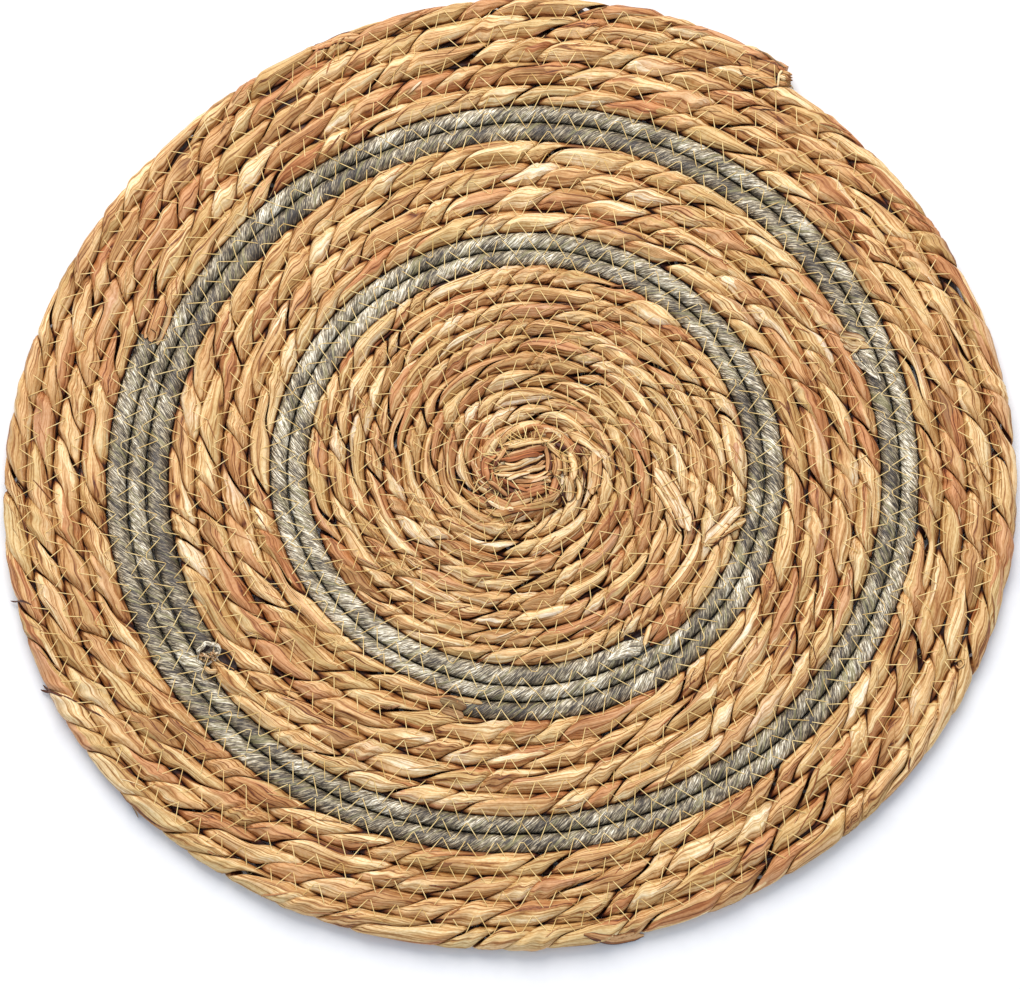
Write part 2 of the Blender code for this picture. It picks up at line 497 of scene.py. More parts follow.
def seagrass():
    """Dried seagrass leaf, twisted dry: straw to russet, satin, creased and finely ribbed along the leaf.

    Real fibres are 0.1 to 0.3 mm apart. Here they are 0.7 mm apart and the ribs 1.3 mm, so that they show.
    """
    material, add, shader = finish_of("dried_seagrass_leaf")
    leaf = add("Attribute", attribute_name="leaf").outputs["Vector"]
    seam, valley, paler, redder, duller = (
        add("Attribute", attribute_name=key).outputs["Fac"]
        for key in ("seam", "valley", "paler", "russet", "dull")
    )
    bend_at = add("VectorMath MULTIPLY", leaf, (50.0, 50.0, 14.0))
    bend = add("TexNoise", bend_at, {"Scale": 1.0, "Detail": 1.0})
    bent = add("VectorMath MULTIPLY_ADD", bend.outputs["Color"], (1.1 * MM, 1.1 * MM, 0.0), leaf)

    # Each pattern has so many repeats in a metre, twice across the leaf and then along it.
    stretch, fibre, rib, grain = (
        add("TexNoise", add("VectorMath MULTIPLY", where, repeats),
            {"Scale": 1.0, "Detail": detail, "Roughness": roughness})
        for where, repeats, detail, roughness in (
            (leaf, (60.0, 60.0, 32.0), 2.0, 0.5),
            (bent, (1500.0, 1500.0, 45.0), 2.0, 0.6),
            (bent, (800.0, 800.0, 20.0), 1.0, 0.5),
            (leaf, (1300.0, 1300.0, 700.0), 1.0, 0.5),
        )
    )
    strip_at = add("VectorMath MULTIPLY", bent, (150.0, 150.0, 18.0))
    fold_at = add("VectorMath MULTIPLY", bent, (350.0, 350.0, 12.0))
    strip, fold = (add("TexVoronoi", place_at, {"Scale": 1.0}) for place_at in (strip_at, fold_at))
    strip_chance, fold_chance = (add("SeparateColor", cell.outputs["Color"]) for cell in (strip, fold))
    fold_edge = add("TexVoronoi", fold_at, {"Scale": 1.0}, feature="DISTANCE_TO_EDGE")
    in_fold = add("VectorMath SUBTRACT", fold_at, fold.outputs["Position"])
    fold_way = add("VectorMath SUBTRACT", fold.outputs["Color"], (0.5, 0.5, 0.5))
    fold_tilt = add("VectorMath DOT_PRODUCT", in_fold, fold_way)

    stretch_tone = add("MapRange", stretch, 0.3, 0.7, -0.1, 0.46)
    strip_tone = add("Math MULTIPLY_ADD", strip_chance, 0.58, stretch_tone)
    fold_tone = add("Math MULTIPLY_ADD", fold_chance, 0.14, strip_tone)
    tone = add("Math ADD", fold_tone, paler)
    tint = add("ValToRGB", tone, stops=(
        (0.0, "#90643A"),
        (1.0, "#F6E6CB"),
        (0.2, "#BC925F"),
        (0.4, "#D8B180"),
        (0.6, "#E8C896"),
        (0.8, "#F0DAAC"),
    ))
    is_russet = add("MapRange", strip_chance.outputs["Green"], 0.72, 0.92, 0.0, 0.76)
    is_green = add("MapRange", strip_chance.outputs["Green"], 0.36, 0.12, 0.0, 0.6)
    russet_part = add("Math ADD", is_russet, redder, use_clamp=True)
    own_tint = add("Math ABSOLUTE", redder)
    green_part = add("Math SUBTRACT", is_green, own_tint, use_clamp=True)
    for part, hue in ((russet_part, "#BC7C4E"), (green_part, "#C8AC72"), (duller, "#9A8A68")):
        tint = add("Mix", part, {6: tint, 7: linear(hue)}, data_type="RGBA").outputs[2]

    fibre_shade = add("MapRange", fibre, 0.34, 0.5, 0.62, 1.04)
    rib_shade = add("MapRange", rib, 0.34, 0.42, 0.58, 1.0)
    # Painted shade: thin dark slits between leaf folds, deeper in some stretches, and darker towards each
    # fold's edge.
    edge_depth = add("MapRange", stretch, 0.45, 0.68, 0.1, 1.0)
    edge_line = add("MapRange", fold_edge, 0.0, 0.055, edge_depth, 1.0)
    edge_fade = add("MapRange", fold_edge, 0.05, 0.35, 0.78, 1.0)
    edge_shade = add("Math MULTIPLY", edge_line, edge_fade)
    grain_shade = add("MapRange", grain, 0.35, 0.6, 0.84, 1.04)
    # Painted shade in the groove between strands, and low on the flanks in the valleys between rows.
    seam_shade = add("Math SUBTRACT", 1.0, seam)
    valley_shade = add("MapRange", valley, 0.52, 0.88, 1.0, 0.0)
    # Fibre, rib and grain lines are the leaf's own; the edge, seam and valley factors are painted shade. All
    # darken the leaf towards warm browns.
    shade = fibre_shade
    for other in (rib_shade, edge_shade, grain_shade, seam_shade, valley_shade):
        shade = add("Math MULTIPLY", shade, other)
    grain_and_painted_shade_colour = add("ValToRGB", shade, stops=(
        (0.0, "#36170A"),
        (1.0, "#FFFFFF"),
        (0.1, "#6E3E19"),
        (0.35, "#BA9468"),
        (0.7, "#E8D8C0"),
    ))
    colour = add("Mix", 1.0, {6: tint, 7: grain_and_painted_shade_colour}, data_type="RGBA", blend_type="MULTIPLY")
    rough = add("MapRange", rib, 0.3, 0.7, 0.5, 0.68)

    relief = add("Math MULTIPLY_ADD", fibre, 0.5, rib)
    stepped = add("Math MULTIPLY_ADD", fold_chance.outputs["Blue"], 1.0, relief)
    tilted = add("Math MULTIPLY_ADD", fold_tilt.outputs["Value"], 2.2, stepped)
    bump = add("Bump", {"Strength": 0.85, "Distance": 0.45 * MM, "Height": tilted})
    wire(shader, {
        "Base Color": colour.outputs[2], "Roughness": rough, "Normal": bump, "Specular IOR Level": 0.35,
    })
    return material


twisted_rope = rope_tree()
leaf_finish = seagrass()
ROPE_LOOK = {
    "Strands": 2,
    "Sides": 16,
    "Strand width": 0.84,
    "Flat side": 0.5,
    "Round side": 0.88,
    "Crease depth": 0.22,
    "Lump change": 0.65,
    "Twist change": 0.8,
    "Leaf turn back": 1.2,
    "Pressed flank": 0.3,
    "Row peak": 0.6,
    "Material": leaf_finish,
}


def fit(piece, node):
    """The finished piece stands for its solid and rides on the mat's one body."""
    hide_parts(node)
    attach(piece, "root")


ROPE_END_LAPS = 0.009
CENTRE_PALER = ((0.0, 0.08), (3.5, 0.14), (5.0, 0.06), (11.7, 0.06))
CENTRE_RUSSET = ((0.0, 0.0), (11.69, 0.0), (11.7, 0.6), (11.74, 0.6))
centre_path = lying_path("rope_centre_path", FOLD_SHOWS_FROM, JOINT_1 + ROPE_END_LAPS, CENTRE_ROPE_HEIGHT,
                         ROPE_FULLNESS, start_taper=(0.75, 6.0), end_taper=(0.8, 8.0),
                         paler=CENTRE_PALER, russet=CENTRE_RUSSET)
rope_centre = grown(centre_path, twisted_rope, "seagrass_rope_centre", {
    **ROPE_LOOK, "Twist length": 26.0 * MM, "Lump change": 0.9, "Twist change": 1.1, "Seed": 3.0,
})
fit(rope_centre, "rope_centre")


# cord_inner: the first grey band, a little over two rows of round cord.
# It is a soft core wound at a slant with fine grey, silver and olive yarns.
CORD_HEIGHT = 6.8
CORD_FULLNESS = 0.97
# The winding's ridges and bulges, in repeats a metre: twice across the cord and then along it.
RIDGE_REPEATS = (420.0, 420.0, 60.0)
BULGE_REPEATS = (110.0, 110.0, 110.0)


def cord_tree():
    """A round cord whose surface runs round it at a slant, ridged by the yarns of its winding."""
    add, given, result = new_tree("Wound cord", Int=("Sides",), Float=(
        "Twist length", "Ridge depth", "Thickness change", "Pressed flank", "Row peak",
    ), Material=("Material",))
    along = add("InputNamedAttribute", "along")
    curve = add("MeshToCurve", given["Geometry"])
    swept, ring, held = sweep(add, curve, given["Sides"])
    wide = add("VectorMath SCALE", ring, {"Scale": STRAND_RADIUS * MM})
    winding = add("VectorMath ADD", wide, add("CombineXYZ", {"Z": along}))
    ridge_at = add("VectorMath MULTIPLY", winding, RIDGE_REPEATS)
    ridge = add("TexNoise", ridge_at, {"Scale": 1.0, "Detail": 1.0})
    ridged = add("Math SUBTRACT", ridge, 0.5)
    bulge_at = add("VectorMath MULTIPLY", winding, BULGE_REPEATS)
    bulge = add("TexNoise", bulge_at, {"Scale": 1.0, "Detail": 0.0})
    bulged = add("Math SUBTRACT", bulge, 0.5)
    swell = add("Math MULTIPLY_ADD", ridged, given["Ridge depth"], 1.0)
    swelled = add("Math MULTIPLY_ADD", bulged, given["Thickness change"], swell)
    puffed = add("VectorMath SCALE", ring, {"Scale": swelled})
    turns = add("Math DIVIDE", along, given["Twist length"])
    angle = add("Math MULTIPLY", turns, -FULL_TURN)
    turned = add("VectorRotate", puffed, {"Angle": angle}, rotation_type="Z_AXIS")
    rests, valley = lie_beside(add, turned, held["axis"], given)
    placed = add("SetPosition", swept, {"Position": rests})
    return finished(add, placed, given, result, winding=winding, valley=valley)


def grey_yarn():
    """Spun rayon yarn in greys: silvery filaments, their glints partly painted in, beside near black, with a
    few olive strands.

    Real filaments are a few hundredths of a millimetre. They are drawn 0.4 mm apart, so that they show.
    """
    material, add, shader = finish_of("grey_rayon_yarn")
    winding = add("Attribute", attribute_name="winding").outputs["Vector"]
    valley, paler = (add("Attribute", attribute_name=key).outputs["Fac"] for key in ("valley", "paler"))
    bend_at = add("VectorMath MULTIPLY", winding, (160.0, 160.0, 90.0))
    bend = add("TexNoise", bend_at, {"Scale": 1.0, "Detail": 1.0})
    bent = add("VectorMath MULTIPLY_ADD", bend.outputs["Color"], (2.0 * MM, 2.0 * MM, 0.0), winding)
    yarn, band, stretch, olive = (
        add("TexNoise", add("VectorMath MULTIPLY", where, repeats),
            {"Scale": 1.0, "Detail": detail, "Roughness": roughness})
        for where, repeats, detail, roughness in (
            (bent, (2300.0, 2300.0, 420.0), 2.0, 0.6),
            (bent, (380.0, 380.0, 55.0), 1.0, 0.5),
            (winding, (34.0, 34.0, 34.0), 2.0, 0.5),
            (bent, (620.0, 620.0, 40.0), 1.0, 0.5),
        )
    )
    # Raised yarns and ridged bands are paler: the silvery filaments' own colour, with their glints partly
    # painted in.
    tone = add("MapRange", yarn, 0.4, 0.62, 0.04, 0.84)
    band_tone = add("MapRange", band, 0.35, 0.65, -0.12, 0.22)
    stretch_tone = add("MapRange", stretch, 0.35, 0.7, -0.2, 0.26)
    for other in (band_tone, stretch_tone, paler):
        tone = add("Math ADD", tone, other)
    tint = add("ValToRGB", tone, stops=(
        (0.0, "#2A2018"),
        (1.0, "#FBF2DC"),
        (0.25, "#574A38"),
        (0.5, "#897A61"),
        (0.75, "#BCAC8A"),
    ))
    olive_part = add("MapRange", olive, 0.58, 0.66, 0.0, 0.5)
    # Painted shade: the cord turns near black low on its flanks, in the valleys between rows.
    valley_part = add("MapRange", valley, 0.45, 0.85, 0.0, 1.0)
    for part, hue in ((olive_part, "#99915F"), (valley_part, "#0F0C09")):
        tint = add("Mix", part, {6: tint, 7: linear(hue)}, data_type="RGBA").outputs[2]
    relief = add("Math MULTIPLY_ADD", band, 1.2, yarn)
    bump = add("Bump", {"Strength": 0.9, "Distance": 0.5 * MM, "Height": relief})
    wire(shader, {"Base Color": tint, "Normal": bump, "Roughness": 0.42, "Specular IOR Level": 0.6})
    return material


wound_cord = cord_tree()
yarn_finish = grey_yarn()
CORD_LOOK = {
    "Sides": 30,
    "Twist length": 22.6 * MM,
    "Ridge depth": 0.22,
    "Thickness change": 0.16,
    "Pressed flank": 0.45,
    "Row peak": 0.15,
    "Material": yarn_finish,
}
INNER_PALER = ((0.0, 0.35), (0.015, 0.3), (0.03, 0.0), (0.4, 0.12), (0.75, -0.03), (0.84, -0.22),
               (0.92, 0.0), (1.05, 0.1), (1.8, 0.03), (2.05, -0.09), (2.1, -0.3))
inner_path = lying_path("cord_inner_path", JOINT_1 + ROPE_END_LAPS, JOINT_2, CORD_HEIGHT, CORD_FULLNESS,
                        start_taper=(0.7, 8.0), paler=INNER_PALER)
cord_inner = grown(inner_path, wound_cord, "grey_cord_inner", CORD_LOOK)
fit(cord_inner, "cord_inner")


# rope_middle: four rows of the same seagrass rope, laid in thicker than at the centre.
# Its first end butts on the grey cord, and its last end is pressed thin where the next band starts.
MIDDLE_ROPE_HEIGHT = 8.6
MIDDLE_PALER = ((0.0, -0.05), (0.03, 0.05), (4.12, 0.05))
MIDDLE_RUSSET = ((0.0, 0.45), (0.02, 0.3), (0.03, 0.0))
middle_path = lying_path("rope_middle_path", JOINT_2, JOINT_3, MIDDLE_ROPE_HEIGHT, ROPE_FULLNESS,
                         start_taper=(0.8, 8.0), end_taper=(0.5, 12.0),
                         paler=MIDDLE_PALER, russet=MIDDLE_RUSSET)
rope_middle = grown(middle_path, twisted_rope, "seagrass_rope_middle",
                    {**ROPE_LOOK, "Twist length": 33.5 * MM, "Seed": 11.0})
fit(rope_middle, "rope_middle")


# cord_outer: the second grey band, again a little over two rows of the wound cord.
# Its last end is covered by the blunt end of the rim rope, which butts on it.
CORD_COVERED = 0.0068
OUTER_PALER = ((0.0, -0.2), (0.7, -0.12), (1.05, -0.02), (1.6, 0.08), (1.75, -0.02), (1.85, -0.16),
               (2.15, -0.04))
outer_path = lying_path("cord_outer_path", JOINT_3, JOINT_4 - CORD_COVERED, CORD_HEIGHT, CORD_FULLNESS,
                        paler=OUTER_PALER)
cord_outer = grown(outer_path, wound_cord, "grey_cord_outer", CORD_LOOK)
fit(cord_outer, "cord_outer")


# rope_rim: the last four rows of seagrass rope, which make the mat's edge.
# The rope is cut off at the upper right, and its end lies against the row inside it.
RIM_ROPE_HEIGHT = 8.8
FRAYED_LENGTH = 0.0036
RIM_PALER = ((0.0, -0.05), (0.02, -0.02), (4.275, -0.02), (4.28, -0.2))
RIM_RUSSET = ((0.0, 0.5), (0.012, 0.45), (0.02, 0.0), (4.275, 0.0), (4.28, 0.5))
rim_path = lying_path("rope_rim_path", JOINT_4 - CORD_COVERED, COIL_END - FRAYED_LENGTH, RIM_ROPE_HEIGHT,
                      ROPE_FULLNESS, start_taper=(0.92, 5.0), paler=RIM_PALER, russet=RIM_RUSSET)
rope_rim = grown(rim_path, twisted_rope, "seagrass_rope_rim",
                 {**ROPE_LOOK, "Twist length": 34.5 * MM, "Lump change": 0.85, "Seed": 23.0})
fit(rope_rim, "rope_rim")


# Loose seagrass leaf: the bundle of leaf ends that the coil starts around, torn ends at the joints and
# the rim, and fine shreds that stand off the rope. They are thin flat strips, held only by the sewing.
# A strip's last field darkens it: the own colour of a few dark leaf bits, and painted shade for dark strips
# laid in hollows and gaps.
Strip = collections.namedtuple("Strip", "route half_width paler russet lifted dull raised shaded",
                               defaults=(0.0, 0.0, (0.0, 0.0), 0.0, 0.0, 0.0))
STRIP_STEP = 1.2
# A strip's ends are this part as wide as its middle, and it widens over a sixth of its length.
STRIP_END_WIDTH = 0.3
STRIP_WIDENS = 6.0
# Metres from one strip's place in the leaf pattern to the next one's.
STRIP_SHIFT = 0.037
# Metres off the mat from which strips and stitches are dropped on it.
LAID_FROM = 0.05


def smooth_route(knots):
    """Points a strip's step apart on a smooth curve through the knots, in mm."""
    knots = [Vector(knot) for knot in knots]
    ends = [2.0 * knots[0] - knots[1], *knots, 2.0 * knots[-1] - knots[-2]]
    points = []
    for before, start, end, after in zip(ends, ends[1:], ends[2:], ends[3:]):
        count = max(2, round((end - start).length / STRIP_STEP))
        for k in range(count):
            t = k / count
            pull = (end - before) * t + (2.0 * before - 5.0 * start + 4.0 * end - after) * t ** 2
            points.append(start + (pull + (3.0 * (start - end) + after - before) * t ** 3) / 2.0)
    return [*points, knots[-1]]


def strip_paths(name, strips):
    """Every strip's route as a chain of edges, thin at both ends, with its tint and lift at each spot.

    A strip is raised all along, and lifted by so much more towards its start and its end, in mm.
    """
    chains = []
    values = collections.defaultdict(list)
    for number, strip in enumerate(strips):
        spots = [point.to_3d() * MM for point in smooth_route(strip.route)]
        chains.append(spots)
        values["outwards"] += ways_out(spots)
        start_lift, end_lift = strip.lifted
        for k in range(len(spots)):
            part = k / (len(spots) - 1)
            full = smooth(STRIP_WIDENS * min(part, 1.0 - part))
            thinned = STRIP_END_WIDTH + (1.0 - STRIP_END_WIDTH) * full
            values["along"].append(part * (len(spots) - 1) * STRIP_STEP * MM)
            values["half_width"].append(strip.half_width * MM * thinned)
            values["number"].append(float(number))
            for key in ("paler", "russet", "dull", "shaded"):
                values[key].append(getattr(strip, key))
            values["lift"].append((strip.raised + start_lift * (1.0 - part) ** 2 + end_lift * part ** 2) * MM)
    return path_object(name, chains, values)


def surface_met(add, given, spot=None):
    """The plan of each spot, and how high it meets the pieces below it, measured towards the face."""
    pieces = add("CollectionInfo", {"Collection": given["Pieces below"]})
    pieces_mesh = add("RealizeInstances", pieces)
    spot = spot or add("InputPosition")
    plan = add("VectorMath MULTIPLY", spot, (1.0, 1.0, 0.0))
    far = add("Math MULTIPLY", given["Face"], LAID_FROM)
    ray_from = add("VectorMath ADD", plan, add("CombineXYZ", {"Z": far}))
    down = add("Math MULTIPLY", given["Face"], -1.0)
    ray = add("Raycast", pieces_mesh, {
        "Source Position": ray_from,
        "Ray Direction": add("CombineXYZ", {"Z": down}),
        "Ray Length": 1.0,
    })
    hit = add("SeparateXYZ", ray.outputs["Hit Position"])
    height = add("Math MULTIPLY", hit.outputs["Z"], given["Face"])
    return plan, height


def strip_tree():
    """Thin strips draped over the pieces below, stiff enough to bridge small hollows."""
    add, given, result = new_tree("Laid strip", Int=("Sides", "Stiffness"), Float=(
        "Flatness", "Level top", "Most thickness", "Face",
    ), Collection=("Pieces below",), Material=("Material",))
    half_width, lift, number, along, shaded = (
        add("InputNamedAttribute", key) for key in ("half_width", "lift", "number", "along", "shaded")
    )
    outwards = add("InputNamedAttribute", "outwards", data_type="FLOAT_VECTOR")
    curve = add("MeshToCurve", given["Geometry"])
    swept, ring, held = sweep(add, curve, given["Sides"])

    ring_parts = add("SeparateXYZ", ring)
    ring_height = add("Math ABSOLUTE", ring_parts.outputs["Y"])
    ring_side = add("Math SIGN", ring_parts.outputs["Y"])
    level = add("Math POWER", ring_height, given["Level top"])
    levelled = add("Math MULTIPLY", level, ring_side)
    across = add("Math MULTIPLY", ring_parts.outputs["X"], half_width)
    flattened = add("Math MULTIPLY", half_width, given["Flatness"])
    thin = add("Math MINIMUM", flattened, given["Most thickness"])
    across_move = add("VectorMath SCALE", outwards, {"Scale": across})
    spread_at = add("VectorMath ADD", held["axis"], across_move)
    plan, height = surface_met(add, given, spread_at)
    bridged = add("BlurAttribute", height, {"Iterations": given["Stiffness"]})
    resting = add("Math MAXIMUM", height, bridged)
    lifted = add("Math ADD", resting, lift)
    thickened = add("Math MULTIPLY_ADD", levelled, thin, lifted)
    up = add("Math MULTIPLY", thickened, given["Face"])
    off_table = add("Math MAXIMUM", up, 0.0)
    spot = add("VectorMath ADD", plan, add("CombineXYZ", {"Z": off_table}))
    placed = add("SetPosition", swept, {"Position": spot})

    own_place = add("Math MULTIPLY", number, STRIP_SHIFT)
    leaf = add("CombineXYZ", {"X": across, "Y": own_place, "Z": along})
    # Painted shade: each strip darkens towards its edges, where it meets what lies below, and takes any
    # darkening its data gives.
    to_edge = add("Math ABSOLUTE", ring_parts.outputs["X"])
    edge_shade = add("MapRange", to_edge, 0.6, 1.0, 0.45, 0.95)
    shade = add("Math MAXIMUM", edge_shade, shaded)
    return finished(add, placed, given, result, leaf=leaf, valley=shade)


sewn_pieces = bpy.data.collections.new("sewn_pieces")
bpy.context.scene.collection.children.link(sewn_pieces)
mat_lengths = (rope_centre, cord_inner, rope_middle, cord_outer, rope_rim)
for piece in mat_lengths:
    sewn_pieces.objects.link(piece)
laid_strip = strip_tree()
STRIP_LOOK = {
    "Flatness": 0.5,
    "Level top": 0.55,
    "Face": 1.0,
    "Pieces below": sewn_pieces,
    "Material": leaf_finish,
}
# The folded leaf ends in the middle: route, half the width, how much paler and how much more russet.
CENTRE_STRIPS = (
    Strip(((-3.5, 2.0), (5.0, 3.8), (16.0, 4.4)), 1.5, 0.12, -1.0, raised=0.4),
    Strip(((-1.0, 0.7), (6.5, 2.4), (13.5, 3.0)), 1.3, 0.2, -1.0, raised=0.7),
    Strip(((-2.0, -2.8), (5.0, -0.8), (13.5, 0.7)), 1.2, -0.1, 0.5, raised=1.0),
    Strip(((-3.5, -4.6), (3.7, -3.3), (12.0, -1.6)), 1.2, -0.15, 0.9, raised=1.2),
    Strip(((-5.2, -2.5), (-9.2, -4.5), (-9.7, -8.2), (-8.4, -12.2)), 1.6, 0.0, 0.9, raised=1.2),
    Strip(((-6.0, -8.5), (2.3, -6.5), (12.5, -1.8)), 1.5, 0.1, -1.0, raised=0.9),
    Strip(((-2.2, -5.9), (1.3, -6.2), (5.0, -5.3)), 0.7, 0.3, -1.0, raised=1.5),
    Strip(((-6.2, -9.9), (1.3, -10.2), (8.8, -7.3), (13.3, -6.0)), 1.4, 0.0, -1.0, raised=0.7),
    Strip(((5.0, -9.0), (9.5, -6.5), (13.0, -3.8)), 0.9, 0.08, raised=0.6),
    Strip(((4.0, -10.8), (9.0, -10.5), (14.1, -8.2)), 1.1, 0.1, raised=0.8),
    Strip(((-1.0, -12.5), (3.7, -10.4), (7.2, -9.2)), 1.1, 0.5, -1.0, raised=1.3),
    Strip(((0.2, -12.9), (6.4, -12.5), (14.1, -11.0)), 0.9, 0.05, 0.35, raised=0.9),
    Strip(((1.3, -14.0), (6.4, -14.5), (13.1, -13.0)), 0.9, -0.05, 0.4, raised=0.6),
    Strip(((-8.4, -12.5), (-4.9, -15.2), (-1.1, -18.5)), 1.0, -0.35, 0.0, dull=0.3, raised=0.9),
    Strip(((-3.6, -12.4), (1.3, -14.8), (6.4, -17.0)), 1.0, -0.2, 0.4, raised=1.2),
    Strip(((-1.7, -19.6), (5.0, -17.9), (14.1, -15.0)), 2.0, -0.05, 0.8, raised=0.6),
    Strip(((-4.9, -22.8), (2.3, -21.0), (8.5, -19.0)), 1.5, 0.0, 0.3, raised=0.5),
    Strip(((-9.2, -23.0), (-4.4, -24.8), (3.7, -23.2), (17.9, -20.8)), 1.6, 0.12, raised=0.6),
    Strip(((-9.5, -17.0), (-5.0, -20.0), (0.5, -22.5)), 1.5, 0.05, 0.0, raised=1.0),
    Strip(((-8.5, -20.2), (-3.5, -22.6), (2.0, -23.8)), 1.3, 0.15, -1.0, raised=0.7),
    Strip(((12.6, 2.2), (13.9, -3.0), (13.6, -8.5)), 0.9, -0.1, 0.4, raised=0.9),
    Strip(((17.4, -10.8), (16.3, -14.5), (15.0, -17.8)), 1.6, 0.0, raised=0.5),
    Strip(((18.4, -16.8), (15.8, -19.0), (11.7, -20.8)), 1.4, -0.15, dull=0.2, raised=0.7),
    Strip(((17.1, -3.6), (17.6, -7.0), (16.8, -10.8)), 2.1, 0.1, -1.0, raised=1.3),
    Strip(((19.6, -0.5), (20.6, -5.9), (20.3, -9.9)), 1.2, 0.2, -1.0, raised=0.7),
    Strip(((22.2, -1.0), (23.8, -6.8), (22.7, -12.5)), 1.8, 0.14, -1.0, raised=0.8),
    Strip(((21.1, -10.5), (22.5, -15.0), (21.9, -19.6)), 1.9, 0.1, raised=1.1),
    Strip(((24.9, -11.0), (26.0, -15.0), (25.1, -19.6)), 1.1, 0.08, raised=0.6),
    Strip(((31.3, -0.5), (31.8, -6.8), (30.5, -16.2)), 2.9, 0.22, -1.0, raised=0.3),
    Strip(((22.0, 7.5), (29.7, 3.0), (36.5, -3.0)), 2.5, 0.12, -1.0, (-0.5, -0.8), raised=0.4),
)
# Dark strips painted as the shade in the hollows between them: route, half the width and how high.
CENTRE_HOLLOWS = (
    (((-6.1, -7.2), (-4.5, -4.9)), 0.9, 1.1),
    (((16.8, 3.2), (21.0, 0.7)), 0.9, 0.8),
    (((-2.2, -15.2), (1.6, -17.2)), 0.8, 1.0),
    (((19.8, -16.3), (20.4, -21.0)), 0.9, 0.8),
    (((27.6, -7.0), (28.2, -11.0), (27.8, -16.0)), 0.8, 0.6),
    (((14.6, -1.0), (15.1, -5.0), (14.6, -9.0)), 0.5, 1.0),
    (((3.5, -7.8), (8.0, -6.2)), 0.4, 1.1),
)
